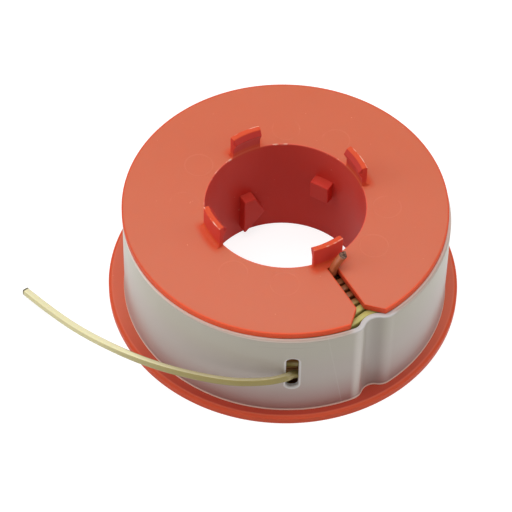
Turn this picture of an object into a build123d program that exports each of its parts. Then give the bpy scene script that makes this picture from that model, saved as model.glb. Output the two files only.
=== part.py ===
from build123d import *
import math
import os

# Trimmer line spool: a moulded spool, the line wound in its groove and a loose band that keeps it in.
# Millimetres, +Z up, origin at the middle of the spool's underside.

# Spool: hub and flanges
SPOOL_HEIGHT = 34.2
BORE_RADIUS = 22.2
HUB_WALL = 2.6
TOP_FLANGE_RADIUS = 45.0
TOP_FLANGE_THICKNESS = 1.9
LOWER_FLANGE_RADIUS = 49.3
LOWER_FLANGE_THICKNESS = 2.5
RIM_BEVEL_WIDTH = 0.9
RIM_BEVEL_HEIGHT = 0.5

# Snap tabs on the bore's upper edge
TAB_COUNT = 4
TAB_FIRST_AZIMUTH = 30.0
TAB_ARC = 22.3
TAB_HEIGHT = 7.4
TAB_THICKNESS = 1.4
TAB_BARB = 1.2
TAB_BARB_HEIGHT = 5.8
TAB_NECK_HEIGHT = 3.3
TAB_ROOT_RADIUS = 1.2

# Slot through the upper flange, in line with the last tab, with a flared mouth at the rim
FLANGE_SLOT_WIDTH = 2.5
SLOT_MOUTH_DEPTH = 4.5
SLOT_MOUTH_FLARE = 45.0

# Driving lugs inside the bore
LUG_COUNT = 3
LUG_PROUD = 3.0
UPPER_LUG_AZIMUTH = 60.0
UPPER_LUG_WIDTH = 5.8
UPPER_LUG_BOTTOM = 17.0
UPPER_LUG_HEIGHT = 6.3
LOWER_LUG_AZIMUTH = 0.0
LOWER_LUG_BOTTOM = 3.0
LOWER_LUG_HEIGHT = 13.1
LOWER_LUG_NOSE_HEIGHT = 6.1
LOWER_LUG_BACK = 1.85
LOWER_LUG_FOOT_WIDTH = 0.6
LOWER_LUG_TOP_WIDTH = 3.55
LOWER_LUG_NOSE_WIDTH = 6.7

# Retaining band, pushed a little towards the slot by the line
BAND_RADIUS = 45.2
BAND_WALL = 1.2
BAND_TOP_CLEARANCE = 0.1
BAND_SHIFT_X = 0.45
BAND_SHIFT_Y = -1.2
BAND_BEAD_HEIGHT = 0.9
BAND_BEAD_PROUD = 0.15
DENT_AZIMUTH = -57.9
DENT_DEPTH = 2.2
DENT_VALLEY_RADIUS = 4.0
DENT_SHOULDER_RADIUS = 4.0
BAND_SLOT_AZIMUTH = -87.45
BAND_SLOT_WIDTH = 3.4
BAND_SLOT_HEIGHT = 12.3
BAND_SLOT_BOTTOM = 12.5
BAND_SLOT_CORNER = 1.4
BAND_SLOT_CHAMFER = 0.5
BAND_SLOT_CHAMFER_ANGLE = 45.0

# Line: a square section with its corners taken off
LINE_WIDTH = 1.8
LINE_CORNER = 0.45

# Winding: layers of turns side by side, the outermost layer only part full
TURNS_PER_LAYER = 12
OUTER_LAYER_TURNS = 4
LAYER_PITCH = 2.4
TURN_GROOVE = 0.7
WINDING_BAND_GAP = 0.3
WINDING_HUB_GAP = 0.15
WINDING_TOP_GAP = 0.1

# Free end, from the last turn through the band's slot and down to the floor
TAIL_ROUTE = [
    (13.87, -41.42, 14.9),
    (8.74, -43.13, 14.9),
    (3.19, -43.72, 15.6),
    (0.69, -48.34, 19.4),
    (-5.2, -49.5, 18.6),
    (-16.5, -48.8, 17.6),
    (-36.0, -39.7, 12.7),
    (-53.5, -25.9, 6.8),
    (-65.3, -13.7, 2.7),
    (-72.6, -5.6, 1.1),
]

# Anchored end, from the winding's top up through the flange slot
INNER_END_ROUTE = [
    (13.0, -22.5, 32.2),
    (13.0, -22.5, 34.5),
    (14.1, -21.7, 36.5),
    (15.5, -20.6, 37.8),
]

# Share of the shorter run that each of a cord's arcs takes up
ARC_SHARE = 0.45

# Sizes that follow from those above
HUB_RADIUS = BORE_RADIUS + HUB_WALL
TOP_FLANGE_UNDERSIDE = SPOOL_HEIGHT - TOP_FLANGE_THICKNESS
BAND_HEIGHT = TOP_FLANGE_UNDERSIDE - BAND_TOP_CLEARANCE - LOWER_FLANGE_THICKNESS
BAND_AXIS = Pos(BAND_SHIFT_X, BAND_SHIFT_Y, 0)
WINDING_TOP = TOP_FLANGE_UNDERSIDE - WINDING_TOP_GAP
WINDING_HEIGHT = WINDING_TOP - LOWER_FLANGE_THICKNESS
TURN_PITCH = WINDING_HEIGHT / TURNS_PER_LAYER
OUTER_CREST_RADIUS = BAND_RADIUS - BAND_WALL - WINDING_BAND_GAP
INNER_CREST_RADIUS = OUTER_CREST_RADIUS - LAYER_PITCH
SLOT_TAB_AZIMUTH = TAB_FIRST_AZIMUTH - 360 / TAB_COUNT


def around(shape, count, first_azimuth):
    """Copies of a shape, evenly spaced round the spool's axis."""
    return [Rot(0, 0, first_azimuth + 360 / count * index) * shape for index in range(count)]


def turned(points, arc=360.0):
    """The solid that a section of (radius, height) points sweeps out round the Z axis."""
    section = Plane.XZ * make_face(Polyline(*points, close=True))
    return revolve(section, axis=Axis.Z, revolution_arc=arc)


def hub_and_flanges():
    return turned([
        (BORE_RADIUS, 0),
        (LOWER_FLANGE_RADIUS, 0),
        (LOWER_FLANGE_RADIUS, LOWER_FLANGE_THICKNESS - RIM_BEVEL_HEIGHT),
        (LOWER_FLANGE_RADIUS - RIM_BEVEL_WIDTH, LOWER_FLANGE_THICKNESS),
        (HUB_RADIUS, LOWER_FLANGE_THICKNESS),
        (HUB_RADIUS, TOP_FLANGE_UNDERSIDE),
        (TOP_FLANGE_RADIUS, TOP_FLANGE_UNDERSIDE),
        (TOP_FLANGE_RADIUS, SPOOL_HEIGHT),
        (BORE_RADIUS, SPOOL_HEIGHT),
    ])


def snap_tab():
    """A barbed tab that stands on the bore's edge, with a rounded root on its outer side."""
    back = BORE_RADIUS + TAB_THICKNESS
    toe = back + TAB_ROOT_RADIUS
    root_top = SPOOL_HEIGHT + TAB_ROOT_RADIUS
    front = Polyline(
        (back, root_top),
        (back, SPOOL_HEIGHT + TAB_HEIGHT),
        (BORE_RADIUS, SPOOL_HEIGHT + TAB_HEIGHT),
        (BORE_RADIUS - TAB_BARB, SPOOL_HEIGHT + TAB_BARB_HEIGHT),
        (BORE_RADIUS, SPOOL_HEIGHT + TAB_NECK_HEIGHT),
        (BORE_RADIUS, SPOOL_HEIGHT),
        (toe, SPOOL_HEIGHT),
    )
    root = CenterArc((toe, root_top), TAB_ROOT_RADIUS, 180, 90)
    section = Plane.XZ * make_face(front + root)
    tab = revolve(section, axis=Axis.Z, revolution_arc=TAB_ARC)
    return Rot(0, 0, -TAB_ARC / 2) * tab


def flange_slot():
    """The cut through the upper flange, from the hub's outer wall to a mouth that flares at the rim."""
    half = FLANGE_SLOT_WIDTH / 2
    mouth = TOP_FLANGE_RADIUS - SLOT_MOUTH_DEPTH
    past_rim = TOP_FLANGE_RADIUS + SLOT_MOUTH_DEPTH
    mouth_half = half + (past_rim - mouth) * math.tan(math.radians(SLOT_MOUTH_FLARE))
    outline = Polyline(
        (HUB_RADIUS, half),
        (mouth, half),
        (past_rim, mouth_half),
        (past_rim, -mouth_half),
        (mouth, -half),
        (HUB_RADIUS, -half),
        close=True,
    )
    below = TOP_FLANGE_UNDERSIDE - TOP_FLANGE_THICKNESS
    cut = extrude(Pos(0, 0, below) * make_face(outline), amount=SPOOL_HEIGHT + TAB_ROOT_RADIUS - below)
    return Rot(0, 0, SLOT_TAB_AZIMUTH) * cut


def lug(outline):
    """A lug on the bore's wall: a face seen along the radius, cut to a ring that stands proud."""
    prism = extrude(Plane.YZ * outline, amount=HUB_RADIUS)
    tip = Cylinder(BORE_RADIUS - LUG_PROUD, 2 * SPOOL_HEIGHT)
    seat = Cylinder(BORE_RADIUS + HUB_WALL / 2, 2 * SPOOL_HEIGHT)
    return prism & (seat - tip)


def upper_lug():
    middle = UPPER_LUG_BOTTOM + UPPER_LUG_HEIGHT / 2
    return lug(Pos(0, middle) * Rectangle(UPPER_LUG_WIDTH, UPPER_LUG_HEIGHT))


def lower_lug():
    """A tooth with an upright back and a nose that slopes away above and below."""
    top = LOWER_LUG_BOTTOM + LOWER_LUG_HEIGHT
    outline = Polyline(
        (LOWER_LUG_BACK, LOWER_LUG_BOTTOM),
        (LOWER_LUG_BACK, top),
        (LOWER_LUG_BACK - LOWER_LUG_TOP_WIDTH, top),
        (LOWER_LUG_BACK - LOWER_LUG_NOSE_WIDTH, LOWER_LUG_BOTTOM + LOWER_LUG_NOSE_HEIGHT),
        (LOWER_LUG_BACK - LOWER_LUG_FOOT_WIDTH, LOWER_LUG_BOTTOM),
        close=True,
    )
    return lug(make_face(outline))


def spool():
    body = hub_and_flanges() + around(snap_tab(), TAB_COUNT, TAB_FIRST_AZIMUTH)
    body += around(upper_lug(), LUG_COUNT, UPPER_LUG_AZIMUTH)
    body += around(lower_lug(), LUG_COUNT, LOWER_LUG_AZIMUTH)
    return body - flange_slot()


def band_outline(inset=0.0):
    """The band's outer outline about its own axis, a circle with one rounded dent, or one inset from it."""
    dent_middle = BAND_RADIUS - DENT_DEPTH + DENT_VALLEY_RADIUS
    dented = Circle(BAND_RADIUS - inset) - Pos(dent_middle, 0) * Circle(DENT_VALLEY_RADIUS + inset)
    return Rot(0, 0, DENT_AZIMUTH) * fillet(dented.vertices(), DENT_SHOULDER_RADIUS - inset)


def band_slot():
    """The upright slot for the line, cut along the radius, with a chamfered outer rim."""
    middle = BAND_SLOT_BOTTOM + BAND_SLOT_HEIGHT / 2
    outline = RectangleRounded(BAND_SLOT_WIDTH, BAND_SLOT_HEIGHT, BAND_SLOT_CORNER)
    through = Plane.YZ.offset(BAND_RADIUS - 2 * BAND_WALL) * Pos(0, middle) * outline
    rim = Plane.YZ.offset(BAND_RADIUS - BAND_SLOT_CHAMFER) * Pos(0, middle) * outline
    cut = extrude(through, amount=4 * BAND_WALL)
    cut += extrude(rim, amount=2 * BAND_SLOT_CHAMFER, taper=-BAND_SLOT_CHAMFER_ANGLE)
    return Rot(0, 0, BAND_SLOT_AZIMUTH) * cut


def retaining_band():
    inner = band_outline(BAND_WALL)
    wall = extrude(band_outline() - inner, amount=BAND_HEIGHT)
    bead = extrude(band_outline(-BAND_BEAD_PROUD) - inner, amount=BAND_BEAD_HEIGHT)
    return BAND_AXIS * (Pos(0, 0, LOWER_FLANGE_THICKNESS) * (wall + bead) - band_slot())


def turn_ridges(crest, bottom, count):
    """Section points of turns that lie side by side, each a ridge between two grooves."""
    points = []
    for index in range(count):
        low = bottom + index * TURN_PITCH
        points.append((crest - TURN_GROOVE, low))
        points.append((crest, low + TURN_PITCH / 2))
    points.append((crest - TURN_GROOVE, bottom + count * TURN_PITCH))
    return points


def last_turn(step_height):
    """The half turn that drops from the outermost layer to where the free end begins."""
    start = Vector(*TAIL_ROUTE[0])
    top = step_height + TURN_PITCH / 2
    middle = Vector(BAND_SHIFT_X, BAND_SHIFT_Y, (start.Z + top) / 2)
    spoke = start - middle
    across = Vector(0, 0, 1).cross(spoke)
    tilted = Plane(origin=middle, x_dir=spoke, z_dir=spoke.cross(across))
    half = LINE_WIDTH / 2
    root = INNER_CREST_RADIUS - TURN_GROOVE
    tip = spoke.length + half
    return tilted * turned([(root, -half), (tip, -half), (tip, half), (root, half)], arc=180)


def line_winding():
    """All the wound turns as one solid: ridged outside, trimmed to the band's dent and the hub."""
    step_height = WINDING_TOP - OUTER_LAYER_TURNS * TURN_PITCH
    lower_turns = TURNS_PER_LAYER - OUTER_LAYER_TURNS
    section = [(0, LOWER_FLANGE_THICKNESS)]
    section += turn_ridges(INNER_CREST_RADIUS, LOWER_FLANGE_THICKNESS, lower_turns)
    section += turn_ridges(OUTER_CREST_RADIUS, step_height, OUTER_LAYER_TURNS)
    section += [(0, WINDING_TOP)]
    turns = BAND_AXIS * turned(section) + last_turn(step_height)
    room = extrude(band_outline(BAND_WALL + WINDING_BAND_GAP), amount=SPOOL_HEIGHT)
    turns &= BAND_AXIS * room
    return turns - Cylinder(HUB_RADIUS + WINDING_HUB_GAP, 2 * SPOOL_HEIGHT)


def cord(name, route):
    """The line's section along a route of straight runs joined by arcs as large as the runs allow."""
    points = [Vector(*point) for point in route]
    runs = [after - before for before, after in zip(points, points[1:])]
    radii = []
    for before, after in zip(runs, runs[1:]):
        half_turn = math.radians(before.get_angle(after)) / 2
        radii.append(ARC_SHARE * min(before.length, after.length) / math.tan(half_turn))
    path = FilletPolyline(*points, radius=radii)
    square = Rectangle(LINE_WIDTH, LINE_WIDTH)
    section = chamfer(square.vertices(), LINE_CORNER)
    length = sweep(Plane(origin=path @ 0, z_dir=path % 0) * section, path=path)
    expected = section.area * path.length
    print(name, "arc radii", [round(radius, 1) for radius in radii])
    print(name, "length", round(path.length, 1), "volume over section times length", length.volume / expected)
    return length


NODES = {
    "spool": spool(),
    "retaining_band": retaining_band(),
    "line_winding": line_winding(),
    "line_tail": cord("line_tail", TAIL_ROUTE),
    "line_inner_end": cord("line_inner_end", INNER_END_ROUTE),
}

os.makedirs("parts", exist_ok=True)
for node, shape in NODES.items():
    export_step(shape, f"parts/{node}.step")
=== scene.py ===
import math
import random
from collections import namedtuple

import bmesh
import bpy
from mathutils import Matrix, Vector


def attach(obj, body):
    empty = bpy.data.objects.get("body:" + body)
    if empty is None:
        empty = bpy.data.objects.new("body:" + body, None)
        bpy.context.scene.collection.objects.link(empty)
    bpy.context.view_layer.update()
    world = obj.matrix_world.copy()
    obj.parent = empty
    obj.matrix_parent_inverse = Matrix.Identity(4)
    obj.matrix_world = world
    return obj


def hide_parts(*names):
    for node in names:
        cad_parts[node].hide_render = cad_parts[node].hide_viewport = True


# Looks of a trimmer line spool: its moulded spool, its loose milky band and its one length of line.
# Lengths are in millimetres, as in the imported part, until MM makes them metres.

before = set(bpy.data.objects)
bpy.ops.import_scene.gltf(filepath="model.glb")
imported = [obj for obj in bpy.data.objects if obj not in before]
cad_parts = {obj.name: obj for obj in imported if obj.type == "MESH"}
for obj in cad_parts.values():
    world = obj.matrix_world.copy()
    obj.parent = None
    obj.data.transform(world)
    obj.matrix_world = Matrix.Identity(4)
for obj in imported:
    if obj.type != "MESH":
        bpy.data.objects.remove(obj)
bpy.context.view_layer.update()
MM = 0.001
WELD = 0.001 * MM    # points closer than this are one point
TOUCH = 0.01 * MM    # a point closer than this to a face or an edge lies on it
FACES_ALONG = 0.5    # the part of a normal along a direction from which a face looks that way
RIDGE_ANGLE = 30.0
SHADE_ANGLE = 38.0
LINE_SHADE_ANGLE = 50.0

# Spool moulding
SPOOL_HEIGHT = 34.2
BORE_RADIUS = 22.2
HUB_RADIUS = 24.8
TOP_FLANGE_RADIUS = 45.0
TOP_FLANGE_UNDERSIDE = 32.3
LOWER_FLANGE_RADIUS = 49.3
LOWER_FLANGE_THICKNESS = 2.5
RIM_BEVEL_WIDTH = 0.9
RIM_BEVEL_HEIGHT = 0.5
EDGE_ROUND = 0.22
EDGE_ROUND_STEPS = 3
SPIN_STEPS = 324

# Snap tabs: each stage has its height over the flange and its inner radius
TAB_AZIMUTHS = (30.0, 120.0, 210.0, 300.0)
TAB_HALF_ARC = 11.15
TAB_BACK_RADIUS = 23.6
TAB_BACK_SLACK = 0.05
TAB_STAGES = ((3.3, 22.2), (5.8, 21.0), (7.4, 22.2))
TAB_ROOT_RADIUS = 1.2
TAB_ROOT_STEPS = 5
TAB_ROOT_FOLD = -0.5
BARB_HEIGHT = SPOOL_HEIGHT + TAB_STAGES[1][0]
TAB_TOP = SPOOL_HEIGHT + TAB_STAGES[2][0]

# Slot through the upper flange, in line with the last tab
SLOT_AZIMUTH = -60.0
SLOT_HALF_WIDTH = 1.25
SLOT_INNER_END = 24.9
SLOT_MOUTH_RADIUS = 40.5
SLOT_PAST_RIM = 49.5
SLOT_CUT_BELOW = 1.0
SLOT_END_FADE = 0.6
SLOT_FAR_OFF = 5.0

# Ejector marks beside each tab
EJECTOR_RADIUS = 3.75
EJECTOR_PLACE = 27.9
EJECTOR_DEPTH = 0.12
EJECTOR_SLOPE = 0.3
EJECTOR_FACETS = 72
EJECTOR_SIDES = (-30.0, 30.0)

# Driving lugs in the bore: each outline has places across and up
LUG_TIP = 19.15
LUG_ROOT = 23.4
LUG_ROUND = 0.36
LUG_ROUND_STEPS = 4
UPPER_LUG_AZIMUTHS = (60.0, 180.0, 300.0)
UPPER_LUG = ((-2.9, 17.0), (2.9, 17.0), (2.9, 23.3), (-2.9, 23.3))
LOWER_LUG_AZIMUTHS = (0.0, 120.0, 240.0)
LOWER_LUG = ((1.25, 3.0), (1.85, 3.0), (1.85, 16.1), (-1.7, 16.1), (-4.85, 9.1))

# Retaining band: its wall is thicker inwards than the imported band's, as its ledge shows
BAND_AXIS = Vector((0.45, -1.2, 0.0))
BAND_RADIUS = 45.2
BAND_WALL = 1.45
BAND_FOOT = LOWER_FLANGE_THICKNESS
BAND_TOP = 32.2
BAND_STEPS = 330
BAND_BEAD_PROUD = 0.18
BAND_BEAD_TOP = BAND_FOOT + 0.5
BAND_BEAD_ROUND = 0.8 * BAND_BEAD_PROUD
BAND_BEAD_STEPS = 3
BAND_ROUND = 0.35
BAND_ROUND_STEPS = 4
BAND_RIM_REACH = 0.1
DENT_AZIMUTH = -57.9
DENT_DEPTH = 2.2
DENT_VALLEY_RADIUS = 4.0
DENT_VALLEY_STEPS = 20
DENT_SHOULDER_RADIUS = 4.0
DENT_SHOULDER_STEPS = 14
BAND_SLOT_AZIMUTH = -87.45
BAND_SLOT_WIDTH = 3.4
BAND_SLOT_HEIGHT = 12.3
BAND_SLOT_BOTTOM = 12.5
BAND_SLOT_CORNER = 1.45
BAND_SLOT_CORNER_STEPS = 10
BAND_SLOT_ROUND = 0.5
BAND_SLOT_ROUND_STEPS = 6

# Painted highlights, a scratch and a painted shadow line on the band: arcs from the dent and from
# the slot, and a height
LEFT_SHOULDER_ARC = -4.9
RIGHT_SHOULDER_ARC = 5.1
SCRATCH_ARC = 11.6
SCRATCH_LEAN = -0.16
WINDING_SHADOW_ARC = -2.0
WINDING_SHADOW_HEIGHT = 29.8

# Line: a rounded square section, wound in layers of turns
LINE_FLAT = 1.9
LINE_CORNER = 0.4
TURNS_PER_LAYER = 13
FULL_LAYERS = 6
LAYERS_OF_ROOM = 7
OUTER_LAYER_TURNS = 4
OUTER_LAYER_PITCH = 0.834
WINDING_TOP = 32.2
WINDING_BAND_GAP = 0.15
DENT_PRESS = 2.3
DENT_PRESS_ARC = 5.0
FIRST_TURN_AZIMUTH = -60.0
SWAY_SEED = 7
SWAY_OUT = 0.08
SWAY_UP = 0.12
POINTS_PER_TURN = 72
SPLINE_ORDER = 3
SPLINE_STEPS = 12
SPLINE_OWN_SHARE = 0.75
STUB_CUT_FACES = Vector((0.35, -0.3, 0.89))
INNER_END_ROUTE = [
    (15.5, -21.5, 38.9),
    (14.1, -22.2, 37.1),
    (13.0, -22.5, 34.5),
    (13.0, -22.5, 32.2),
]
INNER_END_LEAD = 3
TAIL_ROUTE = [
    (13.87, -41.42, 14.9),
    (8.74, -43.13, 14.9),
    (3.19, -43.72, 15.6),
    (0.69, -48.34, 19.4),
    (-5.2, -49.3, 18.6),
    (-16.5, -48.7, 17.6),
    (-36.0, -39.7, 12.7),
    (-53.5, -25.9, 6.8),
    (-65.3, -13.7, 2.7),
    (-72.6, -5.6, 1.1),
]
TAIL_LEAD = 2
TAIL_ROLL = 32.0
TAIL_ROLL_RISE = (44.5, 46.5)
TAIL_ROLL_FALL = (58.0, 47.0)
TAIL_TIP_HEADING = (-0.65, 0.72)

# Colours of the moulding
BODY_RED = (0.62, 0.056, 0.038, 1)
BODY_CLOUD = (0.66, 0.063, 0.043, 1)
# Painted sheen: the top face is given a paler colour than the body, a little lighter at the front
TOP_SHEEN_FRONT = (0.62, 0.167, 0.096, 1)
TOP_SHEEN_BACK = (0.59, 0.138, 0.070, 1)
TOP_CLOUD = (0.66, 0.162, 0.092, 1)
EJECTOR_PALE = (0.78, 0.28, 0.19, 1)
# Painted shade and sheen on the lower flange's face: darker at the front, paler toward the back
LOW_FLANGE_FRONT_SHADE = (0.48, 0.060, 0.034, 1)
LOW_FLANGE_BACK_SHEEN = (0.68, 0.150, 0.086, 1)
LOW_RIM_RED = (0.64, 0.088, 0.034, 1)
# Painted highlight: a pale line on the lower flange's bevel edge
LOW_RING_HIGHLIGHT = (0.78, 0.19, 0.11, 1)
# Painted glow on the upper flange's rim, brightest at the front
RIM_FRONT_GLOW = (0.80, 0.105, 0.038, 1)
RIM_BACK_GLOW = (0.61, 0.076, 0.027, 1)
# Painted glow: the slot's edges, the tabs' roots and the tabs' tops are given a brighter orange
# that stands in for light
GLOWING_EDGE = (0.67, 0.083, 0.030, 1)
# Painted shade: the barbs' sloping faces are darkened
BARB_SHADE_RED = (0.50, 0.040, 0.030, 1)
# Painted highlight along the bore's top edge
BORE_EDGE_HIGHLIGHT = (0.80, 0.20, 0.12, 1)
BURR_PALE = (0.82, 0.46, 0.36, 1)
# Painted highlight, in pale flecks, along the tabs' back top edges
TAB_EDGE_FLECK_HIGHLIGHT = (0.86, 0.46, 0.36, 1)
SPECK_PALE = (0.74, 0.26, 0.16, 1)

# Colours of the band
# Painted red bounce light and painted shade: the band is pinker toward its foot and darker at the
# low front, rising to its own grey higher up
BAND_LOW_SIDES_RED_BOUNCE = (0.42, 0.31, 0.29, 1)
BAND_LOW_FRONT_SHADE = (0.34, 0.175, 0.155, 1)
BAND_MIDDLE = (0.45, 0.392, 0.352, 1)
BAND_UPPER = (0.45, 0.417, 0.345, 1)
# Painted shade in the dent's valley
DENT_VALLEY_SHADE = (0.33, 0.29, 0.26, 1)
# Painted highlights on the dent's shoulders, strong on the left and faint on the right
DENT_SHOULDER_HIGHLIGHT = (0.66, 0.61, 0.56, 1)
OVER_FOOT_SHADE = (0.30, 0.17, 0.15, 1)
# Painted highlight on the band's foot bead
FOOT_HIGHLIGHT = (0.80, 0.58, 0.47, 1)
# Painted highlight round the band's slot
BAND_SLOT_HIGHLIGHT = (0.62, 0.585, 0.565, 1)
# Painted light on the band's top ledge, palest next to the flange's rim, where shade would fall
LEDGE_LIGHT_OUTER = (0.44, 0.375, 0.32, 1)
LEDGE_LIGHT_INNER = (0.72, 0.60, 0.53, 1)
LEDGE_LIGHT_DENT = (0.54, 0.515, 0.505, 1)
SCRATCH_PALE = (0.62, 0.58, 0.54, 1)
# Painted shadow: a thin grey line at one height, where the winding's top turn lies behind the band
WINDING_SHADOW_GREY = (0.34, 0.31, 0.27, 1)
BAND_SPECK = (0.30, 0.28, 0.25, 1)

# Colours of the line
# Painted light and shade on the tail: its upper faces lighter than its lower ones, and both darker
# near the band
TAIL_SHADED_FAR = (0.64, 0.58, 0.31, 1)
TAIL_SHADED_NEAR = (0.30, 0.24, 0.085, 1)
TAIL_LIT_FAR = (0.80, 0.75, 0.47, 1)
TAIL_LIT_NEAR = (0.47, 0.40, 0.23, 1)
LINE_CLOUD = (0.66, 0.60, 0.28, 1)
# Painted shade: the wound turns are darker lower down
TURNS_LOW_SHADE = (0.33, 0.26, 0.085, 1)
TURNS_HIGH = (0.52, 0.48, 0.15, 1)
# Painted shade, dark brown, on the turns wound deep inside
TURNS_DEEP_SHADE = (0.25, 0.085, 0.030, 1)
# Painted dim red light on the turns seen behind the band's slot
TURNS_BEHIND_SLOT_RED_LIGHT = (0.60, 0.30, 0.10, 1)
TIP_STAIN = (0.10, 0.09, 0.05, 1)
STUB_BROWN = (0.46, 0.135, 0.052, 1)
CUT_DARK = (0.06, 0.03, 0.02, 1)
CUT_CRUMBS = (0.24, 0.12, 0.08, 1)

# Floor, room and lamps: each lamp has its place and size in metres, and its watts
FLOOR_SIZE = 6.0
FLOOR_BOUNCE = (0.82, 0.82, 0.82, 1)
FLOOR_SEEN = (0.32, 0.32, 0.32, 1)
FLOOR_GLOW = 0.84
ROOM_LIGHT = 0.5
ROOM_SEEN = 1.0
LAMPS = (
    ("overhead", (-0.1, 0.1, 1.22), 1.2, 10.6),
    ("left", (-1.1, -0.1, 0.5), 0.9, 4.2),
    ("right", (1.1, -0.1, 0.5), 0.9, 2.2),
)

# Camera, at the photograph's viewing angle
PHOTO_SIZE = 512
CAMERA_PLACE = Vector((-9.96, -518.83, 643.52)) * MM
CAMERA_FOCUS_PX = 2914.29
CAMERA_TILT = 0.8832
CAMERA_PAN = 0.0042
CAMERA_ROLL = -0.0220
SENSOR_WIDTH = 36.0


# Small helpers for modelling

def nothing_selected():
    if bpy.context.mode != "OBJECT":
        bpy.ops.object.mode_set(mode="OBJECT")
    bpy.ops.object.select_all(action="DESELECT")


def take_up(piece):
    """Selects one piece alone, in object mode, and makes it the active one."""
    nothing_selected()
    bpy.context.view_layer.objects.active = piece
    piece.select_set(True)


def edit(piece):
    take_up(piece)
    bpy.ops.object.mode_set(mode="EDIT")


def pick(kind, test):
    """Selects the vertices, edges or faces of the piece in edit mode that pass a test."""
    bpy.ops.mesh.select_mode(type=kind)
    bpy.ops.mesh.select_all(action="DESELECT")
    mesh = bmesh.from_edit_mesh(bpy.context.object.data)
    mesh.normal_update()
    for item in {"VERT": mesh.verts, "EDGE": mesh.edges, "FACE": mesh.faces}[kind]:
        if test(item):
            item.select_set(True)
    mesh.select_flush_mode()
    bmesh.update_edit_mesh(bpy.context.object.data)


def pull(move):
    """Extrudes what is selected, by a move in metres."""
    bpy.ops.mesh.extrude_region_move(TRANSFORM_OT_translate={"value": move})


def bevel(radius, steps, affect="EDGES", clamp=False):
    """Rounds the edges or corners that are selected."""
    bpy.ops.mesh.bevel(offset=radius * MM, segments=steps, profile=0.5, affect=affect,
                       clamp_overlap=clamp)


def radius_of(point):
    return math.hypot(point.x, point.y) / MM


def azimuth_gap(point, azimuth):
    """How far a point's azimuth is from another, in degrees."""
    own = math.degrees(math.atan2(point.y, point.x))
    return abs((own - azimuth + 180) % 360 - 180)


def heading(angle):
    return Vector((math.cos(angle), math.sin(angle), 0))


def polar(radius, azimuth, height=0.0):
    angle = math.radians(azimuth)
    return Vector((radius * math.cos(angle), radius * math.sin(angle), height))


def eased(value, low, high):
    """Rises smoothly from 0 at low to 1 at high."""
    share = min(max((value - low) / (high - low), 0.0), 1.0)
    return share * share * (3 - 2 * share)


def draw_wire(name, points):
    """A new piece that is one closed wire, drawn on from a single vertex. Left in edit mode."""
    nothing_selected()
    bpy.ops.mesh.primitive_plane_add(size=MM)
    piece = bpy.context.object
    piece.name = piece.data.name = name
    bpy.ops.object.mode_set(mode="EDIT")
    bpy.ops.mesh.select_mode(type="VERT")
    bpy.ops.mesh.select_all(action="SELECT")
    bpy.ops.mesh.merge(type="CENTER")
    bpy.ops.transform.translate(value=points[0])
    here = points[0]
    for there in points[1:] + points[:1]:
        pull(there - here)
        here = there
    bpy.ops.mesh.select_all(action="SELECT")
    bpy.ops.mesh.remove_doubles(threshold=WELD)
    return piece


def face_outwards():
    bpy.ops.mesh.select_all(action="SELECT")
    bpy.ops.mesh.normals_make_consistent(inside=False)


def turned_to(piece, azimuth):
    """Leaves edit mode and turns a piece that was drawn along +X to its azimuth."""
    bpy.ops.object.mode_set(mode="OBJECT")
    piece.data.transform(Matrix.Rotation(math.radians(azimuth), 4, "Z"))
    return piece


def work_with(piece, kind, **settings):
    """Puts one modifier on the active piece and applies it."""
    step = piece.modifiers.new(kind.lower(), kind)
    for name, value in settings.items():
        setattr(step, name, value)
    bpy.ops.object.modifier_apply(modifier=step.name)


def combine(piece, tool, operation):
    """Joins a tool shape to a piece, or cuts it away, and removes the tool."""
    take_up(piece)
    work_with(piece, "BOOLEAN", operation=operation, solver="MANIFOLD", object=tool)
    piece.data.materials.clear()
    bpy.data.objects.remove(tool)


def even_shading(piece, angle=SHADE_ANGLE):
    """Smooth shading that keeps flat faces flat."""
    take_up(piece)
    bpy.ops.object.shade_smooth_by_angle(angle=math.radians(angle))
    work_with(piece, "WEIGHTED_NORMAL", keep_sharp=True)


def joined(pieces):
    nothing_selected()
    for piece in pieces:
        piece.select_set(True)
    bpy.context.view_layer.objects.active = pieces[0]
    bpy.ops.object.join()
    return pieces[0]


def is_sharp_ridge(edge):
    """True for an outward edge that a mould would leave slightly rounded."""
    ridge = math.radians(RIDGE_ANGLE)
    return len(edge.link_faces) == 2 and edge.calc_face_angle_signed(0.0) > ridge


# Spool moulding

def spool_body():
    """The hub and both flanges, spun from one section."""
    rim, brim = LOWER_FLANGE_RADIUS, TOP_FLANGE_RADIUS
    section = [
        (BORE_RADIUS, 0.0),
        (rim, 0.0),
        (rim, LOWER_FLANGE_THICKNESS - RIM_BEVEL_HEIGHT),
        (rim - RIM_BEVEL_WIDTH, LOWER_FLANGE_THICKNESS),
        (HUB_RADIUS, LOWER_FLANGE_THICKNESS),
        (HUB_RADIUS, TOP_FLANGE_UNDERSIDE),
        (brim, TOP_FLANGE_UNDERSIDE),
        (brim, SPOOL_HEIGHT),
        (TAB_BACK_RADIUS + 2 * TAB_ROOT_RADIUS, SPOOL_HEIGHT),
        (TAB_BACK_RADIUS, SPOOL_HEIGHT),
        (BORE_RADIUS, SPOOL_HEIGHT),
    ]
    points = [Vector((radius, 0.0, height)) * MM for radius, height in section]
    body = draw_wire("spool_moulding", points)
    bpy.ops.mesh.spin(steps=SPIN_STEPS, angle=math.tau, center=(0, 0, 0), axis=(0, 0, 1))
    bpy.ops.mesh.select_all(action="SELECT")
    bpy.ops.mesh.remove_doubles(threshold=WELD)
    face_outwards()
    return body


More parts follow.
